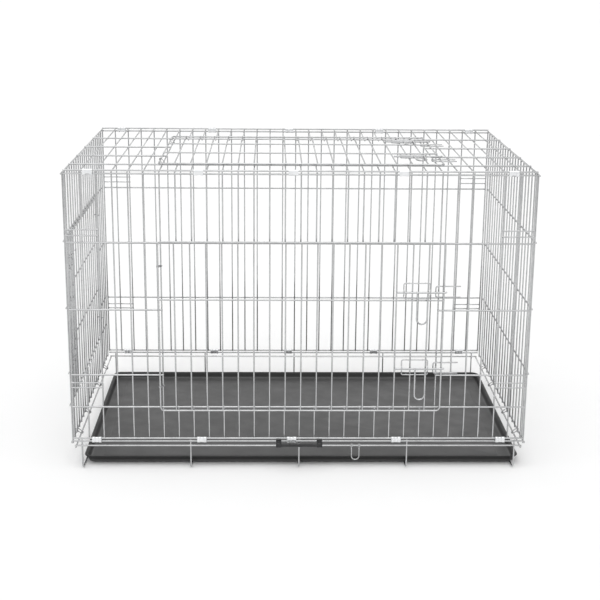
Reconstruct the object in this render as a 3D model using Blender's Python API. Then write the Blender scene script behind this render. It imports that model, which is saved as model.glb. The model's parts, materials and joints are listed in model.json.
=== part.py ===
"""Folding wire dog crate, 42-inch class: welded wire panels on a wire floor frame, three doors with slide bolts,
a plastic pan and a carry handle.

Metres, +Z up, front at -Y, origin on the ground under the middle of the crate. Every panel is described in its own
flat frame: u runs along its horizontal wires, v along its upright wires, n points outwards, and n = 0 is the axis of
the horizontal wires. The upright wires lie on the inside of the horizontal ones and are welded to them.
"""

import math

import bmesh
import bpy
from mathutils import Vector

# ---------------------------------------------------------------- driving dimensions
R_FRAME = 0.0020  # horizontal wires, frame wires and floor wires
R_FILL = 0.0017  # upright wires of a panel, made as diamonds
GAP = 0.0003  # between pieces that touch
LAYER = 0.0031  # from the axis of the horizontals in to the axis of the uprights
PAST = 0.0018  # a wire runs this far past the axis of the wire it is welded to

HALF_X = 0.5335  # side wires of the front, back and top panels
HALF_Y = 0.3430  # the horizontals of the front and back panels
UPRIGHTS = 30  # spaces between upright wires along the length
END_X = 0.5413  # horizontals of the end panels
END_HALF_Y = 0.3330  # side wires of the end panels
END_UPRIGHTS = 19  # spaces between upright wires across the depth

Z_BOTTOM = 0.0790  # bottom wire of the front and back panels
Z_TOP_WIRE = 0.7135  # their top wire
Z_TOP = 0.7209  # lengthwise wires of the top panel
Z_END_BOTTOM = 0.0640
Z_END_TOP = 0.7105
Z_RAIL = 0.0719  # front and back rail of the floor
Z_LOWER = 0.0605  # wires across the legs
SIDE_RAIL_X = 0.5305  # side rails: the end panels turn on them
Z_SIDE_RAIL = Z_LOWER - 2 * R_FRAME - GAP

LINES = (0.2375, 0.3960, 0.5550)  # heights of a panel's inner horizontals
DOOR_SILL = 0.1580
DOOR_TOP = LINES[2]
SHORT_LINES = (0.5850, 0.5710, 0.2180, 0.2060)  # doubled wires near a panel's side edges
DOOR_FIRST, DOOR_LAST = 6, 24  # doorway's uprights, counted from the left
END_DOOR_FIRST, END_DOOR_LAST = 3, 16
TOP_SILL, TOP_LINTEL = -0.2620, 0.1500  # front and back edge of the top doorway
TOP_LINES = (-0.1360, 0.0030)  # clear of the top door's own wires when it lies open

DOOR_N = 0.00435  # plane of a door's frame wire, outside its panel
DOOR_RAIL_N = DOOR_N + 0.0028  # a door's horizontals
DOOR_LAP_HINGE = 0.0064  # how far a door reaches past its doorway
DOOR_LAP_LATCH = 0.0114
DOOR_CORNER = 0.009

BOLT_R = 0.00225
BOLT_N = 0.0090
BOLT_BACK, BOLT_FRONT = -0.0470, 0.0685
LOOP_N = 0.0118
LOOP_WIDTH, LOOP_DROP = 0.0240, 0.0750
BRACKET_N = 0.0079
BRACKET_ARCH_N = 0.0131
BRACKET_LEFT, BRACKET_RIGHT = -0.0315, 0.0295
BRACKET_TOP, BRACKET_BOTTOM = 0.0220, -0.0145
BRACKET_FROM_EDGE = 0.0620  # middle of a latch, in from the door's frame wire
KEEPER_HALF = 0.0130
LATCH_HEIGHTS = (0.4410, 0.2560)
END_LATCH_HEIGHTS = (0.4870, 0.2600)
TOP_LATCH_PLACES = (0.0570, -0.1830)

CLIP_LENGTH = 0.022
CLIP_SPACES = (1, 8, 14, 21, 28)  # the space between uprights that each clip sits in

LEG_XS = (-0.516, -0.258, 0.0, 0.258, 0.516)
LEG_Y = HALF_Y - 2 * R_FRAME - GAP - 0.0001
LEG_TOP = 0.0735
LEG_BEND = 0.012
R_LEG = 0.0021

TRAY_X = 0.008  # the pan sits a little towards the right end, where it slides out
TRAY_HALF_X, TRAY_HALF_Y = 0.525, 0.317
TRAY_Z0, TRAY_Z1 = 0.0041, 0.0215
TRAY_WALL = 0.0022

EYE_HOLE, EYE_OUTER = 0.0026, 0.0037


# ---------------------------------------------------------------- materials and objects
def material(name, colour, metallic, roughness):
    made = bpy.data.materials.new(name)
    made.use_nodes = True
    shader = made.node_tree.nodes["Principled BSDF"]
    shader.inputs["Base Color"].default_value = (*colour, 1.0)
    shader.inputs["Metallic"].default_value = metallic
    shader.inputs["Roughness"].default_value = roughness
    return made


def mesh_object(name, bm, slot, origin=(0, 0, 0), parent=None, cutter=False):
    """The object that holds bm, whose points are world points, with its origin where its joint's axis is."""
    origin = Vector(origin)
    bmesh.ops.recalc_face_normals(bm, faces=bm.faces)
    bmesh.ops.translate(bm, vec=-origin, verts=bm.verts)
    mesh = bpy.data.meshes.new(name)
    bm.to_mesh(mesh)
    bm.free()
    made = bpy.data.objects.new(name, mesh)
    bpy.context.scene.collection.objects.link(made)
    made.location = origin
    if parent is not None:
        made.parent = parent
        made.location = origin - world_origin(parent)
    if slot is not None:
        own = slot.copy()
        own.name = name
        mesh.materials.append(own)
    if cutter:
        made.hide_render = True
        made.display_type = "WIRE"
    return made


def world_origin(obj):
    place = Vector(obj.location)
    while obj.parent is not None:
        obj = obj.parent
        place += Vector(obj.location)
    return place


def boolean(obj, other, operation):
    modifier = obj.modifiers.new(other.name, "BOOLEAN")
    modifier.operation = operation
    modifier.solver = "EXACT"
    modifier.object = other


class Frame:
    """A panel's flat frame: a point is origin + u * along + v * up + n * out."""

    def __init__(self, origin, along, up, out):
        self.origin = Vector(origin)
        self.along, self.up, self.out = Vector(along), Vector(up), Vector(out)

    def point(self, u, v, n=0.0):
        return self.origin + self.along * u + self.up * v + self.out * n


FRONT = Frame((0, -HALF_Y, 0), (1, 0, 0), (0, 0, 1), (0, -1, 0))
BACK = Frame((0, HALF_Y, 0), (1, 0, 0), (0, 0, 1), (0, 1, 0))
TOP = Frame((0, 0, Z_TOP), (1, 0, 0), (0, 1, 0), (0, 0, 1))
LEFT = Frame((-END_X, 0, 0), (0, 1, 0), (0, 0, 1), (-1, 0, 0))
RIGHT = Frame((END_X, 0, 0), (0, 1, 0), (0, 0, 1), (1, 0, 0))


# ---------------------------------------------------------------- solids
def skin(bm, rings, closed):
    """Joins rings of points into a tube, with an end cap at each end unless it is closed."""
    rows = [[bm.verts.new(p) for p in ring] for ring in rings]
    count = len(rows[0])
    pairs = list(zip(rows, rows[1:] + rows[:1])) if closed else list(zip(rows, rows[1:]))
    for first, second in pairs:
        for i in range(count):
            j = (i + 1) % count
            bm.faces.new((first[i], first[j], second[j], second[i]))
    if not closed:
        bm.faces.new(rows[0][::-1])
        bm.faces.new(rows[-1])


def tube(bm, path, radius, sides, normal, closed=False):
    """A wire along a flat path, mitred at its bends, with a ridge towards normal."""
    normal = Vector(normal).normalized()
    path = [Vector(p) for p in path]
    count = len(path)
    rings = []
    for i, p in enumerate(path):
        before = path[(i - 1) % count] if closed or i else p
        after = path[(i + 1) % count] if closed or i < count - 1 else p
        came = (p - before).normalized() if (p - before).length else (after - p).normalized()
        goes = (after - p).normalized() if (after - p).length else came
        way = (came + goes).normalized()
        side = normal.cross(way).normalized()
        stretch = 1.0 / max(0.3, way.dot(goes))
        ring = []
        for k in range(sides):
            angle = 2 * math.pi * k / sides
            ring.append(p + normal * radius * math.cos(angle) + side * stretch * radius * math.sin(angle))
        rings.append(ring)
    skin(bm, rings, closed)


def arc(centre, a, b, radius, start, stop, steps):
    """Points from angle start to stop, where a and b are the plane's two directions."""
    points = []
    for i in range(steps + 1):
        t = start + (stop - start) * i / steps
        points.append(Vector(centre) + Vector(a) * radius * math.cos(t) + Vector(b) * radius * math.sin(t))
    return points


def rounded_rectangle(frame, u0, u1, v0, v1, n, radius, steps):
    """A closed path round a rectangle with round corners."""
    corners = ((u1, v1, 0), (u0, v1, 1), (u0, v0, 2), (u1, v0, 3))
    path = []
    for u, v, turn in corners:
        centre = frame.point(u - math.copysign(radius, u - u0 - 1e-6), v - math.copysign(radius, v - v0 - 1e-6), n)
        start = turn * math.pi / 2
        path += arc(centre, frame.along, frame.up, radius, start, start + math.pi / 2, steps)
    return path


def band(bm, outer, inner, way):
    """A closed strip bent round something: the space between two loops, as long as the vector way."""
    way = Vector(way)
    rings = []
    for near, far in ((outer, 0), (outer, 1), (inner, 1), (inner, 0)):
        rings.append([bm.verts.new(Vector(p) + way * far) for p in near])
    for first, second in zip(rings, rings[1:] + rings[:1]):
        for i in range(len(outer)):
            j = (i + 1) % len(outer)
            bm.faces.new((first[i], first[j], second[j], second[i]))


def prism(bm, outline, way):
    """An outline pushed along the vector way."""
    skin(bm, [[Vector(p) for p in outline], [Vector(p) + Vector(way) for p in outline]], False)


def capsule(first, second, a, b, radius, steps):
    """A loop round two points that lie along b."""
    loop = arc(second, a, b, radius, 0.0, math.pi, steps)
    return loop + arc(first, a, b, radius, math.pi, 2 * math.pi, steps)


def eye_plate(bm, hole, far, a, b, way, far_radius):
    """A plate with a round hole for a pivot wire at hole, tapering to a wire at far. a and b span its plane."""
    hole, far, a, b, way = (Vector(x) for x in (hole, far, a, b, way))
    reach = far - hole
    length = reach.length
    heading = math.atan2(reach.dot(b), reach.dot(a))
    tilt = math.asin((EYE_OUTER - far_radius) / length)
    leaves = math.pi / 2 - tilt  # where the taper leaves the round of the eye
    meets = math.atan2(far_radius * math.cos(tilt), length + far_radius * math.sin(tilt))
    half = ((meets, far_radius * math.cos(tilt) / math.sin(meets)), (0.45 * leaves, None), (0.75 * leaves, None),
            (leaves, EYE_OUTER), (leaves + 0.6, EYE_OUTER), (leaves + 1.2, EYE_OUTER))
    turns = [(0.0, length + far_radius)] + list(half) + [(math.pi, EYE_OUTER)]
    turns += [(-off, far_out) for off, far_out in reversed(half)]
    outer, inner = [], []
    for off, far_out in turns:
        spoke = a * math.cos(heading + off) + b * math.sin(heading + off)
        if far_out is None:
            far_out = EYE_OUTER / math.cos(leaves - abs(off))
        outer.append(hole + spoke * far_out - way / 2)
        inner.append(hole + spoke * EYE_HOLE - way / 2)
    band(bm, outer, inner, way)


# ---------------------------------------------------------------- welded panels
class Mesh:
    """A welded wire mesh: upright wires in one layer, horizontal ones in the other, joined by a Boolean."""

    def __init__(self, frame, upright_n, rail_n, upright_r, rail_r):
        self.frame = frame
        self.upright_n, self.rail_n = upright_n, rail_n
        self.upright_r, self.rail_r = upright_r, rail_r
        self.uprights, self.rails, self.extras = bmesh.new(), bmesh.new(), bmesh.new()
        self.has_extras = False

    def upright(self, u, v0, v1, radius=None, sides=4):
        f, n = self.frame, self.upright_n
        tube(self.uprights, (f.point(u, v0, n), f.point(u, v1, n)), radius or self.upright_r, sides, f.out)

    def rail(self, v, u0, u1, radius=None):
        f, n = self.frame, self.rail_n
        tube(self.rails, (f.point(u0, v, n), f.point(u1, v, n)), radius or self.rail_r, 6, f.out)

    def keeper(self, u, v, side):
        """The U that a bolt shoots over: its legs cross two uprights, its closed end points at the door."""
        f, n = self.frame, -0.0003
        corner, leg = 0.005, 0.058 * side
        path = [f.point(u + leg, v + KEEPER_HALF, n)]
        for centre_v, start in ((v + KEEPER_HALF - corner, math.pi / 2), (v - KEEPER_HALF + corner, math.pi)):
            centre = f.point(u + corner * side, centre_v, n)
            path += arc(centre, f.along * side, f.up, corner, start, start + math.pi / 2, 2)
        path.append(f.point(u + leg, v - KEEPER_HALF, n))
        tube(self.rails, path, 0.0016, 6, f.out)

    def hinge_ring(self, doorway_u, wire_u, v):
        f = self.frame
        hole, far = f.point(wire_u, v, DOOR_N), f.point(doorway_u, v, self.upright_n)
        eye_plate(self.extras, hole, far, f.along, f.out, f.up * 0.007, 0.0021)
        self.has_extras = True

    def finish(self, name, origin, parent=None):
        panel = mesh_object(name, self.uprights, ZINC, origin, parent)
        rails = mesh_object(name + "_rails", self.rails, None, cutter=True)
        boolean(panel, rails, "UNION")
        if self.has_extras:
            boolean(panel, mesh_object(name + "_rings", self.extras, None, cutter=True), "UNION")
        else:
            self.extras.free()
        return panel


def spaced(half, spaces, k):
    return -half + 2 * half * k / spaces


def door_panel(frame, half, spaces, first, last, v0, v1, sill, lintel, lines, short, edge_ends):
    """A panel's mesh, with a doorway from upright first to upright last when first is given."""
    mesh = Mesh(frame, -LAYER, 0.0, R_FILL, R_FRAME)
    for k in range(spaces + 1):
        u = spaced(half, spaces, k)
        radius, sides = (R_FRAME, 6) if k in (0, spaces) else (R_FILL, 4)
        if first is not None and first < k < last:
            mesh.upright(u, v0 - PAST, sill + PAST)
            mesh.upright(u, lintel - PAST, v1 + PAST)
        else:
            mesh.upright(u, v0 - PAST, v1 + PAST, radius, sides)
    reach = half + PAST
    full = [v0, v1] + ([sill, lintel] if first is not None else [])
    for v in full:
        mesh.rail(v, -reach, reach)
    for v in lines:
        if v in full:
            continue
        if first is None:
            mesh.rail(v, -reach, reach)
        else:
            mesh.rail(v, -reach, spaced(half, spaces, first) + PAST)
            mesh.rail(v, spaced(half, spaces, last) - PAST, reach)
    for v in short:
        stop = spaced(half, spaces, edge_ends) + PAST
        mesh.rail(v, -reach, stop, 0.0017)
        mesh.rail(v, -stop, reach, 0.0017)
    return mesh


def door(name, frame, hinge_u, latch_u, v0, v1, fills, parent, origin):
    """A door: a bent frame wire with uprights butted into it, and two horizontals across the outside."""
    u0, u1 = min(hinge_u, latch_u), max(hinge_u, latch_u)
    mesh = Mesh(frame, DOOR_N, DOOR_RAIL_N, R_FILL, 0.0017)
    for k in range(1, fills):
        mesh.upright(u0 + (u1 - u0) * k / fills, v0, v1)
    for third in (1, 2):
        mesh.rail(v0 + (v1 - v0) * third / 3, u0 - 0.0016, u1 + 0.0016)
    loop = rounded_rectangle(frame, u0, u1, v0, v1, DOOR_N, DOOR_CORNER, 3)
    tube(mesh.extras, loop, R_FRAME, 6, frame.out, closed=True)
    mesh.has_extras = True
    return mesh.finish(name, origin, parent)


# ---------------------------------------------------------------- latches
def latch(prefix, frame, middle_u, v, side, panel_door):
    """A bolt with its finger loop, and the bracket that holds it. side is the way that the bolt shoots along u."""

    def at(u, dv, n):
        return frame.point(middle_u + u * side, v + dv, n)

    rod = bmesh.new()
    tube(rod, (at(BOLT_BACK, 0, BOLT_N), at(BOLT_FRONT, 0, BOLT_N)), BOLT_R, 6, frame.out)
    bolt = mesh_object(prefix + "_bolt", rod, ZINC, at(0, 0, BOLT_N), panel_door)
    loop = bmesh.new()
    half = LOOP_WIDTH / 2
    path = [at(0, 0.0015, LOOP_N)]
    path += arc(at(half, -LOOP_DROP + half, LOOP_N), frame.along * side, frame.up, half, math.pi, 2 * math.pi, 6)
    path.append(at(LOOP_WIDTH, 0.0015, LOOP_N))
    tube(loop, path, R_FRAME, 6, frame.out)
    boolean(bolt, mesh_object(prefix + "_loop", loop, None, cutter=True), "UNION")

    bars = bmesh.new()
    for dv in (BRACKET_TOP, BRACKET_BOTTOM):
        tube(bars, (at(BRACKET_LEFT - 0.0015, dv, BRACKET_N), at(BRACKET_RIGHT + 0.0015, dv, BRACKET_N)), 0.0015, 6,
             frame.out)
    bracket = mesh_object(prefix + "_bracket", bars, ZINC, at(0, 0, BRACKET_N), panel_door)
    arches = bmesh.new()
    for u in (BRACKET_LEFT, BRACKET_RIGHT):
        heights = ((BRACKET_TOP + 0.0013, BRACKET_N), (0.0085, BRACKET_N), (0.0050, BRACKET_ARCH_N),
                   (-0.0050, BRACKET_ARCH_N), (-0.0085, BRACKET_N), (BRACKET_BOTTOM - 0.0013, BRACKET_N))
        tube(arches, [at(u, dv, n) for dv, n in heights], 0.0014, 4, frame.along)
    boolean(bracket, mesh_object(prefix + "_arches", arches, None, cutter=True), "UNION")


# ---------------------------------------------------------------- clips
def closed_clip(name, x, y, z_low, z_high, parent):
    """A sheet strip wrapped round two parallel wires that run along X."""
    start = Vector((x - CLIP_LENGTH / 2, y, 0))
    low, high = start + Vector((0, 0, z_low)), start + Vector((0, 0, z_high))
    y_way, z_way = Vector((0, 1, 0)), Vector((0, 0, 1))
    bm = bmesh.new()
    outer = capsule(low, high, y_way, z_way, 0.0036, 4)
    inner = capsule(low, high, y_way, z_way, 0.0026, 4)
    band(bm, outer, inner, (CLIP_LENGTH, 0, 0))
    return mesh_object(name, bm, STEEL, (x, y, z_low), parent)


def snap_clip(name, x, parent):
    """A strip bent over the top panel's front rail, with a leg that springs down over the front panel's top wire."""
    start = Vector((x - CLIP_LENGTH / 2, -HALF_Y, Z_TOP))
    y_way, z_way = Vector((0, 1, 0)), Vector((0, 0, 1))
    outer = arc(start, y_way, z_way, 0.0036, -0.35, math.pi, 5)
    inner = arc(start, y_way, z_way, 0.0026, -0.35, math.pi, 5)
    leg = Vector((0, 0, -0.0100))
    outline = outer + [outer[-1] + leg, inner[-1] + leg] + inner[::-1]
    bm = bmesh.new()
    prism(bm, outline, (CLIP_LENGTH, 0, 0))
    return mesh_object(name, bm, STEEL, (x, -HALF_Y, Z_TOP), parent)


# ---------------------------------------------------------------- floor
def floor_wires():
    """The front rail is the root of the crate: everything else on the floor is welded or clipped to it."""
    made = {}
    y_way = (0, 1, 0)
    for name, y, z, half in (
        ("front_rail", -HALF_Y, Z_RAIL, HALF_X + R_FRAME),
        ("back_rail", HALF_Y, Z_RAIL, HALF_X + R_FRAME),
        ("lower_front_wire", -HALF_Y, Z_LOWER, SIDE_RAIL_X + R_FRAME),
        ("lower_back_wire", HALF_Y, Z_LOWER, SIDE_RAIL_X + R_FRAME),
    ):
        bm = bmesh.new()
        tube(bm, ((-half, y, z), (half, y, z)), R_FRAME, 6, y_way)
        made[name] = mesh_object(name, bm, ZINC, (0, y, z))
    for name, x in (("left_side_rail", -SIDE_RAIL_X), ("right_side_rail", SIDE_RAIL_X)):
        bm = bmesh.new()
        half = HALF_Y + R_FRAME
        tube(bm, ((x, -half, Z_SIDE_RAIL), (x, half, Z_SIDE_RAIL)), R_FRAME, 6, (0, 0, 1))
        made[name] = mesh_object(name, bm, ZINC, (x, 0, Z_SIDE_RAIL))
    for number, x in enumerate(LEG_XS, 1):
        bm = bmesh.new()
        tube(bm, support_path(x), R_LEG, 6, (1, 0, 0))
        made[f"support_wire_{number}"] = mesh_object(f"support_wire_{number}", bm, ZINC, (x, 0, 0))
    return made


def support_path(x):
    """Down from the front rail, back along the ground under the pan, and up to the back rail."""
    z = R_LEG * math.cos(math.pi / 6)
    y_way, z_way = Vector((0, 1, 0)), Vector((0, 0, 1))
    path = [Vector((x, -LEG_Y, LEG_TOP))]
    path += arc((x, -LEG_Y + LEG_BEND, z + LEG_BEND), y_way, z_way, LEG_BEND, math.pi, 1.5 * math.pi, 3)
    path += arc((x, LEG_Y - LEG_BEND, z + LEG_BEND), y_way, z_way, LEG_BEND, 1.5 * math.pi, 2 * math.pi, 3)
    path.append(Vector((x, LEG_Y, LEG_TOP)))
    return path


def tray():
    """The pan: a thin moulded shell with sloping walls and a flat rim that turns out."""
    slope, rim, corner, steps = 0.006, 0.006, 0.022, 5

    def loop(inset, z):
        flat = Frame((TRAY_X, 0, z), (1, 0, 0), (0, 1, 0), (0, 0, 1))
        half_x, half_y = TRAY_HALF_X - inset, TRAY_HALF_Y - inset
        return rounded_rectangle(flat, -half_x, half_x, -half_y, half_y, 0, corner - inset, steps)

    under_rim = TRAY_Z1 - TRAY_WALL
    loops = (
        loop(rim + slope, TRAY_Z0),
        loop(rim, under_rim),
        loop(0.0, under_rim),
        loop(0.0, TRAY_Z1),
        loop(rim + TRAY_WALL, TRAY_Z1),
        loop(rim + slope + TRAY_WALL, TRAY_Z0 + TRAY_WALL),
    )
    bm = bmesh.new()
    skin(bm, loops, False)
    return mesh_object("tray", bm, PLASTIC, (TRAY_X, 0, TRAY_Z0))


def carry_handle():
    """A moulded bar with a hooked block at each end that grips the floor's two front wires."""
    half_x, block, bar_y, bar_z = 0.055, 0.013, -0.3560, 0.0660
    bm = bmesh.new()
    bar = arc((-half_x + 0.001, bar_y, bar_z), (0, 1, 0), (0, 0, 1), 0.0044, 0, 2 * math.pi * 7 / 8, 7)
    prism(bm, bar, (2 * half_x - 0.002, 0, 0))
    handle = mesh_object("carry_handle", bm, HANDLE, (0, bar_y, bar_z))
    blocks, holes = bmesh.new(), bmesh.new()
    outline = ((-0.3600, 0.0625), (-0.3560, 0.0600), (-0.3460, 0.0563), (-0.3400, 0.0563), (-0.3390, 0.0590),
               (-0.3390, 0.0740), (-0.3400, 0.0758), (-0.3460, 0.0758), (-0.3560, 0.0725), (-0.3600, 0.0700))
    for x in (-half_x, half_x - block):
        prism(blocks, [(x, y, z) for y, z in outline], (block, 0, 0))
    for z in (Z_RAIL, Z_LOWER):
        hole = arc((-0.07, -HALF_Y, z), (0, 1, 0), (0, 0, 1), 0.0025, 0, 2 * math.pi * 9 / 10, 9)
        prism(holes, hole, (0.14, 0, 0))
    boolean(handle, mesh_object("handle_blocks", blocks, None, cutter=True), "UNION")
    boolean(handle, mesh_object("handle_holes", holes, None, cutter=True), "DIFFERENCE")
    return handle


def tray_catch():
    """A wire U that hangs on the lower front wire and swings over the pan's rim."""
    x0, x1, low = 0.1255, 0.1435, 0.0245
    half = (x1 - x0) / 2
    bm = bmesh.new()
    path = [Vector((x0, -HALF_Y, Z_LOWER - 0.0030))]
    centre = (x0 + half, -HALF_Y, low + half)
    path += arc(centre, (1, 0, 0), (0, 0, 1), half, math.pi, 2 * math.pi, 4)
    path.append(Vector((x1, -HALF_Y, Z_LOWER - 0.0030)))
    tube(bm, path, 0.0014, 6, (0, 1, 0))
    catch = mesh_object("tray_catch", bm, ZINC, (0, -HALF_Y, Z_LOWER))
    eyes = bmesh.new()
    for x in (x0, x1):
        rings = [arc((x - 0.0016, -HALF_Y, Z_LOWER), (0, 1, 0), (0, 0, 1), r, 0, 2 * math.pi * 9 / 10, 9)
                 for r in (0.0038, 0.0026)]
        band(eyes, rings[0], rings[1], (0.0032, 0, 0))
    boolean(catch, mesh_object("catch_eyes", eyes, None, cutter=True), "UNION")
    return catch


# ---------------------------------------------------------------- panels and doors
def long_panels():
    """Front, back and top: the three panels that run the length of the crate."""
    hinge_u = spaced(HALF_X, UPRIGHTS, DOOR_FIRST) - DOOR_LAP_HINGE
    latch_u = spaced(HALF_X, UPRIGHTS, DOOR_LAST) + DOOR_LAP_LATCH
    doorway_u = spaced(HALF_X, UPRIGHTS, DOOR_FIRST)
    middle = latch_u - BRACKET_FROM_EDGE
    keeper_u = middle + 0.0435

    front = door_panel(FRONT, HALF_X, UPRIGHTS, DOOR_FIRST, DOOR_LAST, Z_BOTTOM, Z_TOP_WIRE, DOOR_SILL, DOOR_TOP,
                       LINES, SHORT_LINES, 2)
    for v in LATCH_HEIGHTS:
        front.keeper(keeper_u, v, 1)
    for v in (0.500, 0.210):
        front.hinge_ring(doorway_u, hinge_u, v)
    front_panel = front.finish("front_panel", (0, -HALF_Y, Z_BOTTOM))
    front_door = door("front_door", FRONT, hinge_u, latch_u, DOOR_SILL - 0.0075, DOOR_TOP + 0.0025, 18, front_panel,
                      FRONT.point(hinge_u, 0, DOOR_N))
    for place, v in zip(("upper", "lower"), LATCH_HEIGHTS):
        latch(f"front_{place}", FRONT, middle, v, 1, front_door)

    back = door_panel(BACK, HALF_X, UPRIGHTS, None, None, Z_BOTTOM, Z_TOP_WIRE, 0, 0, LINES, SHORT_LINES, 2)
    back_panel = back.finish("back_panel", (0, HALF_Y, Z_BOTTOM))

    top = door_panel(TOP, HALF_X, UPRIGHTS, DOOR_FIRST, DOOR_LAST, -HALF_Y, HALF_Y, TOP_SILL, TOP_LINTEL,
                     TOP_LINES, (), 2)
    for v in TOP_LATCH_PLACES:
        top.keeper(keeper_u, v, 1)
    for v in (0.100, -0.215):
        top.hinge_ring(doorway_u, hinge_u, v)
    top_panel = top.finish("top_panel", (0, HALF_Y, Z_TOP), back_panel)
    top_door = door("top_door", TOP, hinge_u, latch_u, TOP_SILL - 0.011, TOP_LINTEL + 0.0075, 18, top_panel,
                    TOP.point(hinge_u, 0, DOOR_N))
    for place, v in zip(("rear", "front"), TOP_LATCH_PLACES):
        latch(f"top_{place}", TOP, middle, v, 1, top_door)
    return back_panel, top_panel


def end_panels():
    """The two ends turn on the floor's side rails, through eyes that stand in from their bottom wires."""
    inboard = -(END_X - SIDE_RAIL_X)
    for name, frame, x in (("left_end_panel", LEFT, -SIDE_RAIL_X), ("right_end_panel", RIGHT, SIDE_RAIL_X)):
        left = frame is LEFT
        first, last = (END_DOOR_FIRST, END_DOOR_LAST) if left else (None, None)
        mesh = door_panel(frame, END_HALF_Y, END_UPRIGHTS, first, last, Z_END_BOTTOM, Z_END_TOP, DOOR_SILL, DOOR_TOP,
                          LINES, (), 2)
        for k in (2.5, 6.5, 12.5, 16.5):
            u = spaced(END_HALF_Y, END_UPRIGHTS, k)
            hole, far = frame.point(u, Z_SIDE_RAIL, inboard), frame.point(u, Z_END_BOTTOM, 0)
            eye_plate(mesh.extras, hole, far, frame.out, frame.up, frame.along * 0.008, 0.0023)
        mesh.has_extras = True
        if left:
            hinge_u = spaced(END_HALF_Y, END_UPRIGHTS, last) + DOOR_LAP_HINGE
            latch_u = spaced(END_HALF_Y, END_UPRIGHTS, first) - DOOR_LAP_LATCH
            middle = latch_u + BRACKET_FROM_EDGE
            for v in END_LATCH_HEIGHTS:
                mesh.keeper(middle - 0.0435, v, -1)
            for v in (0.500, 0.210):
                mesh.hinge_ring(spaced(END_HALF_Y, END_UPRIGHTS, last), hinge_u, v)
        panel = mesh.finish(name, (x, 0, Z_SIDE_RAIL))
        if left:
            end_door = door("end_door", frame, hinge_u, latch_u, DOOR_SILL - 0.0075, DOOR_TOP + 0.0025, 13, panel,
                            frame.point(hinge_u, 0, DOOR_N))
            for place, v in zip(("upper", "lower"), END_LATCH_HEIGHTS):
                latch(f"end_{place}", frame, middle, v, -1, end_door)


def clips(front_rail, back_rail, back_panel, top_panel):
    for number, space in enumerate(CLIP_SPACES, 1):
        x = spaced(HALF_X, UPRIGHTS, space + 0.5)
        closed_clip(f"front_bottom_clip_{number}", x, -HALF_Y, Z_RAIL, Z_BOTTOM, front_rail)
        closed_clip(f"back_bottom_clip_{number}", x, HALF_Y, Z_RAIL, Z_BOTTOM, back_rail)
        closed_clip(f"back_top_clip_{number}", x, HALF_Y, Z_TOP_WIRE, Z_TOP, back_panel)
        snap_clip(f"front_top_clip_{number}", x, top_panel)


def build():
    for obj in list(bpy.data.objects):
        bpy.data.objects.remove(obj)
    floor = floor_wires()
    tray()
    back_panel, top_panel = long_panels()
    end_panels()
    clips(floor["front_rail"], floor["back_rail"], back_panel, top_panel)
    carry_handle()
    tray_catch()


ZINC = material("zinc_wire", (0.62, 0.63, 0.64), 1.0, 0.32)
STEEL = material("zinc_strip", (0.70, 0.71, 0.72), 1.0, 0.28)
PLASTIC = material("pan_plastic", (0.055, 0.056, 0.060), 0.0, 0.48)
HANDLE = material("handle_plastic", (0.012, 0.012, 0.013), 0.0, 0.38)
build()
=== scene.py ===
"""The wire dog crate's looks: round welded wire, sheet clips, slide bolts, a moulded pan and a carry
handle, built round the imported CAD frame.

Every panel has its own flat frame, as in the CAD: u runs along the panel's horizontal wires, v along
its uprights, n points outwards, and n = 0 is the axis of the horizontals. Metres throughout.
"""

import json
import math
import random

import bmesh
import bpy
from mathutils import Matrix, Vector


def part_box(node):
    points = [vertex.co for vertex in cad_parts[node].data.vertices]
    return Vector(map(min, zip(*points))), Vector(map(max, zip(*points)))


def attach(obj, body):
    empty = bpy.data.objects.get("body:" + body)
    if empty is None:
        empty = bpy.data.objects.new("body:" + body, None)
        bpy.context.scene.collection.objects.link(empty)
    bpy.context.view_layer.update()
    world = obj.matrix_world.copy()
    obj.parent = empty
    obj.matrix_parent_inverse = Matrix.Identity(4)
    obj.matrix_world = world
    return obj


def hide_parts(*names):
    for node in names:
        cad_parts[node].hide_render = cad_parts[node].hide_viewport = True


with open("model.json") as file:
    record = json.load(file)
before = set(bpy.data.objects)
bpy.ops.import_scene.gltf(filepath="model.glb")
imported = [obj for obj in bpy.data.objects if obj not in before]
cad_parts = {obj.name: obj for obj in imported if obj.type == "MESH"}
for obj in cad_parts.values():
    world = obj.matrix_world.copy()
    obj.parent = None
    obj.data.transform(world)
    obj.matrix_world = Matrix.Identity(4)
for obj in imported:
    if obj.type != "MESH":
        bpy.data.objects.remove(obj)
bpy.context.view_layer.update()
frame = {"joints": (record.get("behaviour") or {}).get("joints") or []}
random.seed(7)


# ---------------------------------------------------------------- places, from the frame
def middle(node):
    low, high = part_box(node)
    return (low + high) / 2


def joint_place(name):
    return next(Vector(j["pos_m"]) for j in frame["joints"] if j["name"] == name)


R_FRAME = 0.0020  # a panel's side uprights and long horizontals, and a door's frame wire
R_FILL = 0.0018  # the other uprights
R_RAIL = 0.0019  # the floor frame's wires, a hair under the panels'
R_SHORT = 0.0015  # the short wires at the sides of the front and back panels
R_DOOR_RAIL = 0.0017
R_KEEPER = 0.0015
LAYER = 0.0031  # from the horizontals' axis in to the uprights' axis
PAST = 0.0015  # how far a wire's end runs past the wire that it is welded to
SIDES = 10  # corners of a wire's cross-section
TOP_WIRE_DROP = 0.0074  # from the top panel down to the front and back panels' top wires
END_EDGE = 0.0018  # from an end panel's outermost upright, at its axis, out to the panel's edge

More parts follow.
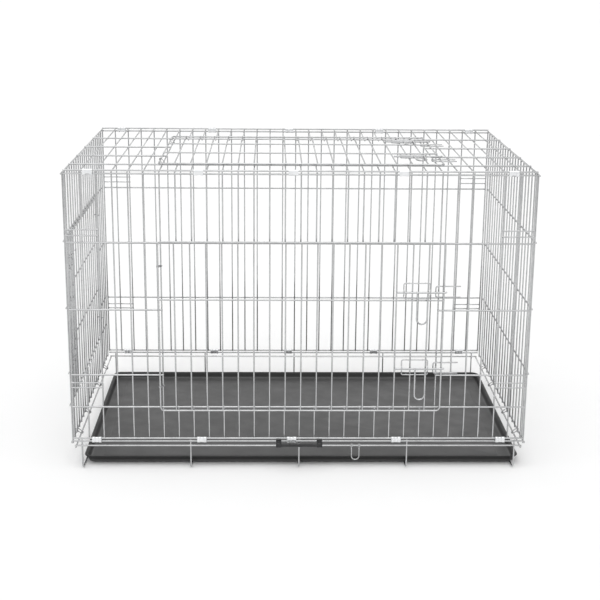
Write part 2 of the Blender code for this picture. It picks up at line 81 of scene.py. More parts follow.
HALF_Y = -middle("front_rail").y
HALF_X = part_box("front_rail")[1].x - R_FRAME
Z_LOWER = middle("lower_front_wire").z
Z_SIDE_RAIL = joint_place("left_end_fold").z
SIDE_RAIL_X = joint_place("right_end_fold").x
Z_BOTTOM = joint_place("front_fold").z
Z_TOP = joint_place("top_fold").z
Z_TOP_WIRE = Z_TOP - TOP_WIRE_DROP
END_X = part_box("right_end_panel")[1].x - R_FRAME
END_HALF_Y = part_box("right_end_panel")[1].y - END_EDGE
Z_END_BOTTOM, Z_END_TOP = 0.0640, 0.7105

# spaces between uprights, the uprights that a doorway lies between, and the horizontals' places
UPRIGHTS, END_UPRIGHTS = 30, 19
DOOR_FIRST, DOOR_LAST = 6, 24
END_DOOR_FIRST, END_DOOR_LAST = 3, 16
DOOR_FILLS, END_DOOR_FILLS = 18, 13
LINES = (0.2375, 0.3960, 0.5550)
DOOR_SILL, DOOR_TOP = 0.1580, LINES[2]
SHORT_LINES = (0.5850, 0.5710, 0.2180, 0.2060)
TOP_SILL, TOP_LINTEL = -0.2620, 0.1500
TOP_LINES = (-0.1360, 0.0030)

# a door's layers, and how far its frame wire runs past the doorway
DOOR_N = 0.00435
DOOR_RAIL_N = DOOR_N + 0.0028
DOOR_CORNER = 0.009
PAST_SILL, PAST_LINTEL = 0.0075, 0.0025
PAST_TOP_SILL, PAST_TOP_LINTEL = 0.0110, 0.0075
PAST_LATCH_SIDE = 0.0114

# hinges: the wound wire's inner reach round each of the two wires that it joins
HINGE_V, TOP_HINGE_V = (0.500, 0.210), (0.100, -0.215)
HINGE_ROUND_DOOR, HINGE_ROUND_UPRIGHT = 0.0031, 0.0026
EYES = (2.5, 6.5, 12.5, 16.5)  # an end panel's hinge eyes, in spaces between its uprights
EYE_ROUND_RAIL, EYE_ROUND_WIRE, R_EYE = 0.0032, 0.0030, 0.0010

# latches: places along the door, then the bolt, its finger loop, its bracket and its keeper
FRONT_LATCH_V, END_LATCH_V, TOP_LATCH_V = (0.4410, 0.2560), (0.4870, 0.2600), (0.0570, -0.1830)
LATCH_FROM_EDGE = 0.0620
BOLT_R, BOLT_N = 0.0022, 0.0090
BOLT_BACK, BOLT_FRONT = -0.0470, 0.0685
BOLT_TIP, TIP_LIFT = 0.0060, 0.0012  # the bolt's last stretch is bent up a little
R_LOOP, LOOP_BEND = 0.0019, 0.0045
LOOP_N, LOOP_WIDTH, LOOP_DROP = 0.0118, 0.0240, 0.0750
R_BRACKET, BRACKET_CORNER = 0.0014, 0.0040
BRACKET_N, BRACKET_ARCH_N = 0.0079, 0.0131
BRACKET_LEFT, BRACKET_RIGHT = -0.0315, 0.0295
BRACKET_TOP, BRACKET_BOTTOM = 0.0220, -0.0145
BRACKET_WELDS = (-0.0200, 0.0180)
KEEPER_FROM_LATCH = 0.0435
KEEPER_HALF, KEEPER_LEG, KEEPER_CORNER, KEEPER_N = 0.0130, 0.0580, 0.0050, -0.0003

DOWN = Vector((0, 0, -1))
X, Y, Z = Vector((1, 0, 0)), Vector((0, 1, 0)), Vector((0, 0, 1))


class Plane:
    """A panel's flat frame."""

    def __init__(self, origin, along, up, out):
        self.origin, self.along, self.up, self.out = (Vector(v) for v in (origin, along, up, out))

    def point(self, u, v, n=0.0):
        return self.origin + self.along * u + self.up * v + self.out * n


FRONT = Plane((0, -HALF_Y, 0), X, Z, -Y)
BACK = Plane((0, HALF_Y, 0), X, Z, Y)
TOP = Plane((0, 0, Z_TOP), X, Y, Z)
LEFT = Plane((-END_X, 0, 0), Y, Z, -X)
RIGHT = Plane((END_X, 0, 0), Y, Z, X)


def spaced(half, spaces, k):
    return -half + 2 * half * k / spaces


# ---------------------------------------------------------------- node-based materials
class Nodes:
    """A material's node tree, with short calls for the few kinds of node used here."""

    def __init__(self, name):
        self.material = bpy.data.materials.new(name)
        self.material.use_nodes = True
        self.tree = self.material.node_tree
        self.shader = self.tree.nodes["Principled BSDF"]
        self.place = self.tree.nodes.new("ShaderNodeTexCoord").outputs["Object"]

    def link(self, out, into):
        self.tree.links.new(out, into)
        return self

    def noise(self, scale, detail=3.0, roughness=0.5):
        node = self.tree.nodes.new("ShaderNodeTexNoise")
        node.inputs["Scale"].default_value = scale
        node.inputs["Detail"].default_value = detail
        node.inputs["Roughness"].default_value = roughness
        self.link(self.place, node.inputs["Vector"])
        return node.outputs["Fac"]

    def ramp(self, value, *stops):
        node = self.tree.nodes.new("ShaderNodeValToRGB")
        ramp = node.color_ramp
        while len(ramp.elements) < len(stops):
            ramp.elements.new(0.5)
        for element, (position, colour) in zip(ramp.elements, stops):
            element.position = position
            element.color = (*colour, 1.0) if isinstance(colour, tuple) else (colour, colour, colour, 1.0)
        self.link(value, node.inputs["Fac"])
        return node.outputs["Color"]

    def product(self, first, second):
        node = self.tree.nodes.new("ShaderNodeMix")
        node.data_type = "RGBA"
        node.blend_type = "MULTIPLY"
        node.inputs["Factor"].default_value = 1.0
        self.link(first, node.inputs["A"]).link(second, node.inputs["B"])
        return node.outputs["Result"]

    def range(self, value, low, high, span=(0.3, 0.7)):
        node = self.tree.nodes.new("ShaderNodeMapRange")
        node.inputs["From Min"].default_value = span[0]
        node.inputs["From Max"].default_value = span[1]
        node.inputs["To Min"].default_value = low
        node.inputs["To Max"].default_value = high
        self.link(value, node.inputs["Value"])
        return node.outputs["Result"]

    def bump(self, height, strength, distance):
        node = self.tree.nodes.new("ShaderNodeBump")
        node.inputs["Strength"].default_value = strength
        node.inputs["Distance"].default_value = distance
        self.link(height, node.inputs["Height"]).link(node.outputs["Normal"], self.shader.inputs["Normal"])


def zinc(name, bright, dark, rough):
    """Bright zinc plating: a faint mottle, duller patches, and a surface too fine to see as lines."""
    made = Nodes(name)
    made.shader.inputs["Metallic"].default_value = 1.0
    mottle = made.noise(60.0, 5.0, 0.6)
    made.link(made.ramp(mottle, (0.30, dark), (0.70, bright)), made.shader.inputs["Base Color"])
    made.link(made.range(made.noise(140.0, 2.0), *rough), made.shader.inputs["Roughness"])
    made.bump(made.noise(2600.0, 2.0), 0.10, 0.00008)
    return made.material


PAN_PAINTED_LIGHT_Z = (0.0078, 0.0125)  # painted light: the pan's floor is painted lighter up to the first height, for the light falling on it from above, and the walls are plain black from the second
PAN_FLOOR_PAINTED_LIGHT, PAN_WALL_BLACK = 0.076, 0.014


def pan_plastic():
    """Black moulded sheet: a fine leathery grain, and a floor painted lighter than the walls, fading out up
    the walls: painted light for the light that falls on the floor from above.
    """
    made = Nodes("pan_plastic_black")
    split = made.tree.nodes.new("ShaderNodeSeparateXYZ")
    made.link(made.place, split.inputs["Vector"])
    # painted light: the pan's floor is painted lighter than its walls, standing for the light that falls on
    # it from above
    height = made.range(split.outputs["Z"], 0.0, 1.0, PAN_PAINTED_LIGHT_Z)
    painted_floor_light = made.ramp(height, (0.0, PAN_FLOOR_PAINTED_LIGHT), (1.0, PAN_WALL_BLACK))
    cloud = made.ramp(made.noise(7.0, 4.0, 0.6), (0.30, 0.85), (0.75, 1.0))
    made.link(made.product(painted_floor_light, cloud), made.shader.inputs["Base Color"])
    made.link(made.range(made.noise(22.0, 4.0), 0.36, 0.50), made.shader.inputs["Roughness"])
    made.shader.inputs["Specular IOR Level"].default_value = 0.36
    made.bump(made.noise(900.0, 3.0), 0.30, 0.0002)
    return made.material


def handle_plastic():
    """Black moulded plastic, a little glossier than the pan and finer in grain."""
    made = Nodes("handle_plastic_black")
    made.link(made.ramp(made.noise(60.0), (0.30, (0.010, 0.010, 0.011)), (0.70, (0.018, 0.018, 0.019))),
              made.shader.inputs["Base Color"])
    made.link(made.range(made.noise(90.0), 0.30, 0.44), made.shader.inputs["Roughness"])
    made.bump(made.noise(1400.0), 0.25, 0.00015)
    return made.material


WIRE = zinc("zinc_wire_plated", (0.56, 0.565, 0.57), (0.45, 0.455, 0.46), (0.07, 0.14))
WELD = zinc("zinc_weld_dulled", (0.66, 0.66, 0.66), (0.52, 0.52, 0.52), (0.22, 0.34))
STRIP = zinc("zinc_strip_bright", (0.88, 0.89, 0.90), (0.76, 0.77, 0.78), (0.30, 0.42))
PAN = pan_plastic()
HANDLE = handle_plastic()


# ---------------------------------------------------------------- wire
def skin(bm, rings, closed, slot=0):
    """Faces from each ring of points to the next, capped at both ends unless the rings close up."""
    rows = [[bm.verts.new(p) for p in ring] for ring in rings]
    count = len(rows[0])
    faces = []
    for first, second in list(zip(rows, rows[1:])) + ([(rows[-1], rows[0])] if closed else []):
        for i in range(count):
            j = (i + 1) % count
            faces.append(bm.faces.new((first[i], first[j], second[j], second[i])))
    if not closed:
        faces.append(bm.faces.new(rows[0][::-1]))
        faces.append(bm.faces.new(rows[-1]))
    for face in faces:
        face.smooth = True
        face.material_index = slot


def wire(bm, path, radius, normal, closed=False, sides=SIDES):
    """A round wire along a flat path. Its cut ends are slightly rounded over."""
    normal = Vector(normal).normalized()
    path = [Vector(p) for p in path]
    count = len(path)
    rings = []
    for i, p in enumerate(path):
        before = path[(i - 1) % count] if closed or i else p
        after = path[(i + 1) % count] if closed or i < count - 1 else p
        came = (p - before).normalized() if (p - before).length else (after - p).normalized()
        goes = (after - p).normalized() if (after - p).length else came
        way = (came + goes).normalized()
        side = normal.cross(way).normalized()
        stretch = 1.0 / max(0.3, way.dot(goes))

        def ring(scale, shift):
            points = []
            for k in range(sides):
                angle = 2 * math.pi * k / sides
                across = normal * math.cos(angle) + side * stretch * math.sin(angle)
                points.append(p + way * shift + across * radius * scale)
            return points

        if closed or 0 < i < count - 1:
            rings.append(ring(1.0, 0.0))
        elif i == 0:
            rings += [ring(0.55, 0.0), ring(0.9, 0.12 * radius), ring(1.0, 0.45 * radius)]
        else:
            rings += [ring(1.0, -0.45 * radius), ring(0.9, -0.12 * radius), ring(0.55, 0.0)]
    skin(bm, rings, closed)


def disc(place, a, b, radius, count):
    """The corners of a regular ring round a place, in the plane of a and b."""
    turns = (2 * math.pi * k / count for k in range(count))
    return [place + (a * math.cos(t) + b * math.sin(t)) * radius for t in turns]


def weld(bm, place, first, second, out, width=0.0030):
    """The squashed metal where two crossing wires were welded: a low, uneven bead between them."""
    first, second, out = Vector(first), Vector(second), Vector(out)
    rings = []
    for height, spread in ((-0.0013, 0.35), (-0.0008, 0.72), (0.0, 0.92), (0.0008, 0.72), (0.0013, 0.35)):
        ring = []
        for k in range(8):
            angle = 2 * math.pi * k / 8
            reach = width * spread * (1.0 if k % 2 else 0.86) * random.uniform(0.93, 1.07)
            ring.append(place + out * height + (first * math.cos(angle) + second * math.sin(angle)) * reach)
        rings.append(ring)
    skin(bm, rings, False, 1)


def arc(centre, a, b, radius, start, stop, steps):
    points = []
    for i in range(steps + 1):
        t = start + (stop - start) * i / steps
        points.append(Vector(centre) + Vector(a) * radius * math.cos(t) + Vector(b) * radius * math.sin(t))
    return points


def rounded_rectangle(plane, u0, u1, v0, v1, n, radius, steps):
    path = []
    for u, v, turn in ((u1 - radius, v1 - radius, 0), (u0 + radius, v1 - radius, 1),
                       (u0 + radius, v0 + radius, 2), (u1 - radius, v0 + radius, 3)):
        start = turn * math.pi / 2
        path += arc(plane.point(u, v, n), plane.along, plane.up, radius, start, start + math.pi / 2, steps)
    return path


def coil(bm, centre, axis, inner, wire_r, turns, toward, steps=14):
    """Turns of wire wound round a pivot wire and closed up against each other, starting towards toward."""
    axis, centre, toward = Vector(axis).normalized(), Vector(centre), Vector(toward)
    a = (toward - axis * toward.dot(axis)).normalized()
    b = axis.cross(a)
    radius = inner + wire_r
    total = int(steps * turns)
    pitch = 2 * wire_r * 0.98
    start = -0.5 * turns * pitch
    path = []
    for i in range(total + 1):
        t = 2 * math.pi * i / steps
        along = axis * (start + pitch * i / steps)
        path.append(centre + a * radius * math.cos(t) + b * radius * math.sin(t) + along)
    sweep(bm, path, wire_r)


def sweep(bm, path, radius, sides=8):
    """A round wire along any path, with its rings carried along without twist."""
    path = [Vector(p) for p in path]
    way = (path[1] - path[0]).normalized()
    side = way.orthogonal().normalized()
    rings = []
    for i, p in enumerate(path):
        before, after = path[max(i - 1, 0)], path[min(i + 1, len(path) - 1)]
        fresh = (after - before).normalized()
        side = (way.rotation_difference(fresh) @ side).normalized()
        way = fresh
        rings.append(disc(p, side, way.cross(side), radius, sides))
    skin(bm, rings, False)


# ---------------------------------------------------------------- pieces
def piece(name, bm, body, node, slot, *materials):
    """A mesh that rides on a body and stands for a CAD node."""
    bmesh.ops.recalc_face_normals(bm, faces=bm.faces)
    mesh = bpy.data.meshes.new(name)
    bm.to_mesh(mesh)
    bm.free()
    for material in materials:
        mesh.materials.append(material)
    made = bpy.data.objects.new(name, mesh)
    bpy.context.scene.collection.objects.link(made)
    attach(made, body)
    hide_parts(node)
    return made


def zinc_piece(node, bm, body):
    return piece(node + "_wire", bm, body, node, "zinc_wire", WIRE, WELD)


class Mesh:
    """A welded mesh being made: wires go in by layer, and every crossing gets its weld."""

    def __init__(self, plane, upright_n, rail_n):
        self.plane, self.upright_n, self.rail_n = plane, upright_n, rail_n
        self.bm = bmesh.new()
        self.uprights, self.rails = [], []

    def upright(self, u, v0, v1, radius=R_FILL):
        f = self.plane
        wire(self.bm, (f.point(u, v0, self.upright_n), f.point(u, v1, self.upright_n)), radius, f.out)
        self.uprights.append((u, v0, v1))

    def rail(self, v, u0, u1, radius=R_FRAME):
        f = self.plane
        wire(self.bm, (f.point(u0, v, self.rail_n), f.point(u1, v, self.rail_n)), radius, f.out)
        self.rails.append((v, u0, u1))

    def keeper(self, u, v, side):
        """The U of wire that a bolt runs under, flat on the panel."""
        f, n = self.plane, KEEPER_N
        corner, leg = KEEPER_CORNER, KEEPER_LEG * side
        path = [f.point(u + leg, v + KEEPER_HALF, n)]
        for centre_v, start in ((v + KEEPER_HALF - corner, math.pi / 2), (v - KEEPER_HALF + corner, math.pi)):
            centre = f.point(u + corner * side, centre_v, n)
            path += arc(centre, f.along * side, f.up, corner, start, start + math.pi / 2, 5)
        path.append(f.point(u + leg, v - KEEPER_HALF, n))
        wire(self.bm, path, R_KEEPER, f.out)
        ends = sorted((u + corner * side, u + leg))
        self.rails += [(v + KEEPER_HALF, *ends), (v - KEEPER_HALF, *ends)]

    def hinge(self, doorway_u, wire_u, v):
        """Two turns of thin wire round the door's frame wire and the doorway's upright."""
        f = self.plane
        hole, far = f.point(wire_u, v, DOOR_N), f.point(doorway_u, v, self.upright_n)
        wound(self.bm, hole, far, HINGE_ROUND_DOOR, HINGE_ROUND_UPRIGHT, f.up)

    def welds(self):
        f, n = self.plane, (self.upright_n + self.rail_n) / 2
        for v, u0, u1 in self.rails:
            for u, v0, v1 in self.uprights:
                if u0 - 1e-4 <= u <= u1 + 1e-4 and v0 - 1e-4 <= v <= v1 + 1e-4:
                    weld(self.bm, f.point(u, v, n), f.along, f.up, f.out)


def wound(bm, first, second, first_r, second_r, axis, wire_r=0.0008):
    """Two closed turns of thin wire, side by side, round two parallel wires."""
    reach = second - first
    length, a = reach.length, reach.normalized()
    b = axis.cross(a)
    tilt = math.asin((first_r - second_r) / length)
    ring = arc(second, a, b, second_r, -math.pi / 2 + tilt, math.pi / 2 - tilt, 7)
    ring += arc(first, a, b, first_r, math.pi / 2 - tilt, 1.5 * math.pi + tilt, 9)
    for shift in (-1.05 * wire_r, 1.05 * wire_r):
        loop_sweep(bm, [p + axis * shift for p in ring], wire_r)


def strap(bm, first, second, outer_r, inner_r, far_r, width):
    """A strip bent round two parallel wires, tangent to both, as long as the vector width."""
    first, second, width = Vector(first), Vector(second), Vector(width)
    reach = second - first
    length, a = reach.length, reach.normalized()
    b = width.normalized().cross(a)
    wall = outer_r - inner_r

    def loop(grow):
        r1, r2 = inner_r + grow, far_r - wall + grow
        tilt = math.asin((r1 - r2) / length)
        ring = arc(second, a, b, r2, -math.pi / 2 + tilt, math.pi / 2 - tilt, 7)
        return ring + arc(first, a, b, r1, math.pi / 2 - tilt, 1.5 * math.pi + tilt, 9)

    edge = wall * 0.3
    unit = width.normalized()
    half = width.length / 2
    rings = [[p + unit * s for p in loop(g)] for g, s in (
        (0.0, -half + edge), (edge, -half), (wall - edge, -half), (wall, -half + edge),
        (wall, half - edge), (wall - edge, half), (edge, half), (0.0, half - edge))]
    skin(bm, rings, True)


def panel(plane, half, spaces, v0, v1, lines, short=(), doorway=None):
    """A panel's wires. A doorway is its first and last upright, its sill and its lintel."""
    first, last, sill, lintel = doorway or (None, None, None, None)
    made = Mesh(plane, -LAYER, 0.0)
    for k in range(spaces + 1):
        u = spaced(half, spaces, k)
        if doorway and first < k < last:
            made.upright(u, v0 - PAST, sill + PAST)
            made.upright(u, lintel - PAST, v1 + PAST)
        else:
            made.upright(u, v0 - PAST, v1 + PAST, R_FRAME if k in (0, spaces) else R_FILL)
    reach = half + PAST
    full = (v0, v1, sill, lintel) if doorway else (v0, v1)
    for v in full:
        made.rail(v, -reach, reach)
    for v in (line for line in lines if line not in full):
        if doorway:
            made.rail(v, -reach, spaced(half, spaces, first) + PAST)
            made.rail(v, spaced(half, spaces, last) - PAST, reach)
        else:
            made.rail(v, -reach, reach)
    for v in short:
        stop = spaced(half, spaces, 2) + PAST
        made.rail(v, -reach, stop, R_SHORT)
        made.rail(v, -stop, reach, R_SHORT)
    return made


def door(node, body, plane, hinge_u, latch_u, v0, v1, fills):
    """A door: its uprights and two rails inside one bent frame wire."""
    u0, u1 = min(hinge_u, latch_u), max(hinge_u, latch_u)
    made = Mesh(plane, DOOR_N, DOOR_RAIL_N)
    for k in range(1, fills):
        made.upright(u0 + (u1 - u0) * k / fills, v0, v1)
    made.uprights += [(u0, v0, v1), (u1, v0, v1)]
    for k in (1, 2):
        made.rail(v0 + (v1 - v0) * k / 3, u0 - 0.0016, u1 + 0.0016, R_DOOR_RAIL)
    wire(made.bm, rounded_rectangle(plane, u0, u1, v0, v1, DOOR_N, DOOR_CORNER, 7), R_FRAME, plane.out, True)
    for k in range(1, fills):
        u = u0 + (u1 - u0) * k / fills
        for v in (v0, v1):
            weld(made.bm, plane.point(u, v, DOOR_N), plane.along, plane.up, plane.out, 0.0026)
    made.welds()
    zinc_piece(node, made.bm, body)


# ---------------------------------------------------------------- latches
def latch(prefix, place, plane, middle_u, v, side):
    """A bolt with its finger loop on its own body, and its bracket on the door."""

    def at(u, dv, n):
        return plane.point(middle_u + u * side, v + dv, n)

    bm = bmesh.new()
    bolt = (at(BOLT_BACK, 0, BOLT_N), at(BOLT_FRONT - BOLT_TIP, 0, BOLT_N), at(BOLT_FRONT, TIP_LIFT, BOLT_N))
    wire(bm, bolt, BOLT_R, plane.out, sides=12)
    half, bend, quarter = LOOP_WIDTH / 2, LOOP_BEND, math.pi / 2
    along = plane.along * side
    path = arc(at(0.0, -bend, LOOP_N - bend), plane.up, plane.out, bend, 0.0, quarter, 4)[:-1]
    path += [at(0.0, -bend, LOOP_N)]
    path += arc(at(half, -LOOP_DROP + half, LOOP_N), along, plane.up, half, math.pi, 2 * math.pi, 12)
    path.append(at(LOOP_WIDTH, -bend, LOOP_N))
    path += arc(at(LOOP_WIDTH, -bend, LOOP_N - bend), plane.out, plane.up, bend, 0.0, quarter, 4)
    sweep(bm, path, R_LOOP, sides=10)
    for u in (0.0, LOOP_WIDTH):
        weld(bm, at(u, 0.0, BOLT_N + 0.0012), plane.along, plane.up, plane.out, 0.0027)
    zinc_piece(f"{prefix}_{place}_bolt", bm, f"{prefix}_{place}_bolt_body")

    bm = bmesh.new()
    corner = BRACKET_CORNER
    path = []
    for u, dv, turn in ((BRACKET_RIGHT, BRACKET_TOP, 0), (BRACKET_LEFT, BRACKET_TOP, 1),
                        (BRACKET_LEFT, BRACKET_BOTTOM, 2), (BRACKET_RIGHT, BRACKET_BOTTOM, 3)):
        inset_u = -corner if u > 0 else corner
        inset_v = -corner if dv > 0 else corner
        centre = at(u + inset_u, dv + inset_v, BRACKET_N)
        path += arc(centre, along, plane.up, corner, turn * quarter, (turn + 1) * quarter, 4)
        if turn in (1, 3):  # the sides arch over the bolt
            heights = [(0.0095, BRACKET_N), (0.0072, BRACKET_N + 0.0012), (0.0052, BRACKET_ARCH_N - 0.0014),
                       (0.0030, BRACKET_ARCH_N)]
            heights += [(-h, n) for h, n in reversed(heights)]
            if turn == 3:
                heights = [(-h, n) for h, n in heights]
            path += [at(u, h, n) for h, n in heights]
    loop_sweep(bm, path, R_BRACKET)
    for u in BRACKET_WELDS:
        for dv in (BRACKET_TOP, BRACKET_BOTTOM):
            weld(bm, at(u, dv, BRACKET_N - 0.0012), plane.along, plane.up, plane.out, 0.0024)
    zinc_piece(f"{prefix}_{place}_bracket", bm, f"{prefix}_door_body")


def loop_sweep(bm, path, radius, sides=8):
    """A closed round wire along any path."""
    path = [Vector(p) for p in path]
    count = len(path)
    way = (path[1] - path[-1]).normalized()
    side = way.orthogonal().normalized()
    rings = []
    for i, p in enumerate(path):
        fresh = (path[(i + 1) % count] - path[i - 1]).normalized()
        side = (way.rotation_difference(fresh) @ side).normalized()
        way = fresh
        rings.append(disc(p, side, way.cross(side), radius, sides))
    # the last ring meets the first one at whichever of its corners is nearest
    best = min(range(sides), key=lambda s: (rings[-1][s] - rings[0][0]).length)
    rings[0] = rings[0] if best == 0 else rings[0][-best:] + rings[0][:-best]
    rows = [[bm.verts.new(p) for p in ring] for ring in rings]
    for r, row in enumerate(rows):
        following = rows[(r + 1) % count]
        turn = best if r == 0 else 0
        for k in range(sides):
            a, b = (k + turn) % sides, (k + 1 + turn) % sides
            face = bm.faces.new((row[a], row[b], following[(k + 1) % sides], following[k]))
            face.smooth = True


# ---------------------------------------------------------------- floor, clips, pan and handle
SUPPORTS = range(1, 6)
SUPPORT_BEND = 0.012
LEG_EDGE = 0.0018  # from a leg's axis out to the end of its CAD box
RAIL_BEAD, LOWER_BEAD = 0.0030, 0.0032
BEAD_IN, BEAD_UP = 0.0022, 0.0021


def floor_wires():
    """The floor frame: four long wires, two side rails across them, and the support wires under the pan."""
    for name, way in (("front_rail", X), ("back_rail", X), ("lower_front_wire", X), ("lower_back_wire", X),
                      ("left_side_rail", Y), ("right_side_rail", Y)):
        low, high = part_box(name)
        centre, half = (low + high) / 2, (high - low).dot(way) / 2
        bm = bmesh.new()
        wire(bm, (centre - way * half, centre + way * half), R_RAIL, Z, sides=12)
        if way == X:
            bead = LOWER_BEAD if name.startswith("lower") else RAIL_BEAD
            inward = -math.copysign(BEAD_IN, centre.y)
            for number in SUPPORTS:
                x = middle(f"support_wire_{number}").x
                weld(bm, Vector((x, centre.y + inward, centre.z)), X, Z, Y, bead)
        else:
            for end in (-HALF_Y, HALF_Y):
                weld(bm, Vector((centre.x, end, centre.z + BEAD_UP)), X, Y, Z, RAIL_BEAD)
        zinc_piece(name, bm, "floor_frame")
    for number in SUPPORTS:
        name = f"support_wire_{number}"
        low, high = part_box(name)
        x, half = (low.x + high.x) / 2, (high.y - low.y) / 2 - LEG_EDGE
        bend, z = SUPPORT_BEND, R_RAIL + SUPPORT_BEND
        path = [Vector((x, -half, high.z))]
        path += arc((x, -half + bend, z), Y, Z, bend, math.pi, 1.5 * math.pi, 8)
        path += arc((x, half - bend, z), Y, Z, bend, 1.5 * math.pi, 2 * math.pi, 8)
        path.append(Vector((x, half, high.z)))
        bm = bmesh.new()
        wire(bm, path, R_RAIL, X, sides=12)
        zinc_piece(name, bm, "floor_frame")


CLIP_OUTER, CLIP_INNER = 0.0036, 0.0026
CLIP_BANDS = ((-0.0077, 0.0066, 0.0), (0.0, 0.0090, 0.0005), (0.0077, 0.0066, 0.0))  # place, width, recess


def clips():
    """Strip clips: each is pressed into two humps with a recessed band between them."""
    for row, body in (("front_bottom", "floor_frame"), ("back_bottom", "floor_frame"), ("back_top", "back"),
                      ("front_top", "top")):
        side = -1 if row.startswith("front") else 1
        for number in range(1, 6):
            node = f"{row}_clip_{number}"
            low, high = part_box(node)
            x, y = (low.x + high.x) / 2, (low.y + high.y) / 2
            bm = bmesh.new()
            for place, width, recess in CLIP_BANDS:
                if row == "front_top":
                    snap(bm, x + place, width, low.z + recess, recess)
                else:
                    ends = [Vector((x + place, y, z)) for z in (low.z + CLIP_OUTER, high.z - CLIP_OUTER)]
                    strap(bm, *ends, CLIP_OUTER - recess, CLIP_INNER, CLIP_OUTER - recess, X * width)
            face = low.y if side < 0 else high.y
            for place in (CLIP_BANDS[0][0], CLIP_BANDS[2][0]):
                dimple(bm, Vector((x + place, face, (low.z + high.z) / 2)), X, Z, Y * side)
            piece(node + "_strip", bm, body, node, "zinc_strip", STRIP)


def snap(bm, x, length, low_z, recess):
    """A strip bent over the top rail, whose outside leg runs down past the front panel's top wire."""
    outer_r, inner_r, edge = CLIP_OUTER - recess, CLIP_INNER, 0.0003
    mouth = -0.35  # radians past the rail's inside, where the strip begins
    outer = arc((0, -HALF_Y, Z_TOP), Y, Z, outer_r, mouth, math.pi, 12)
    inner = arc((0, -HALF_Y, Z_TOP), Y, Z, inner_r, mouth, math.pi, 12)
    for z in (Z_TOP - 0.004, Z_TOP_WIRE, low_z + 0.0022, low_z):
        outer.append(Vector((0, -HALF_Y - outer_r, z)))
        inner.append(Vector((0, -HALF_Y - inner_r, z)))
    outline = outer + inner[::-1]
    shifts = (-length / 2, -length / 2 + edge, length / 2 - edge, length / 2)
    skin(bm, [[p + X * (x + shift) for p in outline] for shift in shifts], False)


def dimple(bm, place, a, b, out):
    """A small pressed stud."""
    profile = ((-0.0002, 0.0016), (0.00005, 0.0015), (0.00022, 0.0010), (0.00028, 0.0004))
    skin(bm, [disc(place + out * height, a, b, radius, 10) for height, radius in profile], False)


def tray_loop(middle_x, half_x, half_y, corner, z, steps=9):
    flat = Plane((middle_x, 0, z), X, Y, Z)
    return rounded_rectangle(flat, -half_x, half_x, -half_y, half_y, 0, corner, steps)


PAN_CORNER = 0.022


def pan():
    """The moulded pan: rolled rim, sloping walls with a radius at the foot, and a step round the floor."""
    low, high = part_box("tray")
    middle_x, half_x, half_y = (low.x + high.x) / 2, (high.x - low.x) / 2, high.y
    z0, z1, wall = low.z, high.z, 0.0022
    out = [(0.0140, z0), (0.0118, z0 + 0.0004), (0.0102, z0 + 0.0018), (0.0094, z0 + 0.0040),
           (0.0062, z1 - 0.0045), (0.0052, z1 - 0.0026), (0.0030, z1 - 0.0022), (0.0006, z1 - 0.0022),
           (0.0, z1 - 0.0016), (0.0, z1 - 0.0006), (0.0008, z1)]
    inside = [(0.0052, z1), (0.0068, z1 - 0.0006), (0.0080, z1 - 0.0026), (0.0112, z0 + 0.0064),
              (0.0124, z0 + 0.0040), (0.0146, z0 + 0.0026), (0.0176, z0 + wall), (0.0400, z0 + wall),
              (0.0412, z0 + wall + 0.0003), (0.0424, z0 + wall + 0.0011), (0.0440, z0 + wall + 0.0014)]
    bm = bmesh.new()
    rings = [tray_loop(middle_x, half_x - inset, half_y - inset, max(PAN_CORNER - inset, 0.008), z)
             for inset, z in out + inside]
    skin(bm, rings, False)
    piece("pan_shell", bm, "pan", "tray", "pan_plastic", PAN)


HANDLE_BLOCK = 0.013
GRIP_Y, GRIP_Z, GRIP_R = -0.3560, 0.0660, 0.0042
RIBS, RIB_FIRST, RIB_PITCH = 9, -0.030, 0.0075
RIB_PROFILE = ((-0.0014, 0.0036), (-0.0008, 0.0043), (0.0008, 0.0043), (0.0014, 0.0036))  # along, radius


def carry_handle():
    """A moulded grip that swells towards its ends, ribs round its middle, and an end block at each end."""
    half_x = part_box("carry_handle")[1].x
    bm = bmesh.new()
    rings = []
    for i in range(25):
        t = i / 24
        x = -half_x + 0.002 + (2 * half_x - 0.004) * t
        swell = 1.0 - 0.10 * math.sin(math.pi * t) + 0.22 * max(0.0, abs(2 * t - 1) - 0.88) / 0.12
        rings.append(disc(Vector((x, GRIP_Y, GRIP_Z)), Y, Z, GRIP_R * swell, 16))
    skin(bm, rings, False)
    for k in range(RIBS):
        x = RIB_FIRST + RIB_PITCH * k
        skin(bm, [disc(Vector((x + s, GRIP_Y, GRIP_Z)), Y, Z, r, 16) for s, r in RIB_PROFILE], False)
    for x in (-half_x + HANDLE_BLOCK / 2, half_x - HANDLE_BLOCK / 2):
        end_block(bm, x, HANDLE_BLOCK)
    piece("carry_handle_moulding", bm, "floor_frame", "carry_handle", "handle_plastic", HANDLE)


def end_block(bm, x, width):
    """A solid block with eased edges, moulded over the floor's front wires: it has no holes of its own."""
    edge = 0.0009
    outline = [(-0.3600, 0.0625), (-0.3588, 0.0612), (-0.3560, 0.0600), (-0.3460, 0.0563), (-0.3405, 0.0563),
               (-0.3394, 0.0572), (-0.3390, 0.0590), (-0.3390, 0.0740), (-0.3394, 0.0752), (-0.3405, 0.0758),
               (-0.3460, 0.0758), (-0.3560, 0.0725), (-0.3588, 0.0713), (-0.3600, 0.0700)]
    cy, cz = -0.3490, 0.0662

    def ring(shrink, s):
        return [Vector((x + s, cy + (y - cy) * shrink, cz + (z - cz) * shrink)) for y, z in outline]

    half = width / 2
    skin(bm, [ring(0.90, -half), ring(1.0, -half + edge), ring(1.0, half - edge), ring(0.90, half)], False)


CATCH_X = (0.1255, 0.1435)
CATCH_TOP = 0.0034  # its legs start this far below the lower front wire's axis
CATCH_OUT = 0.0002


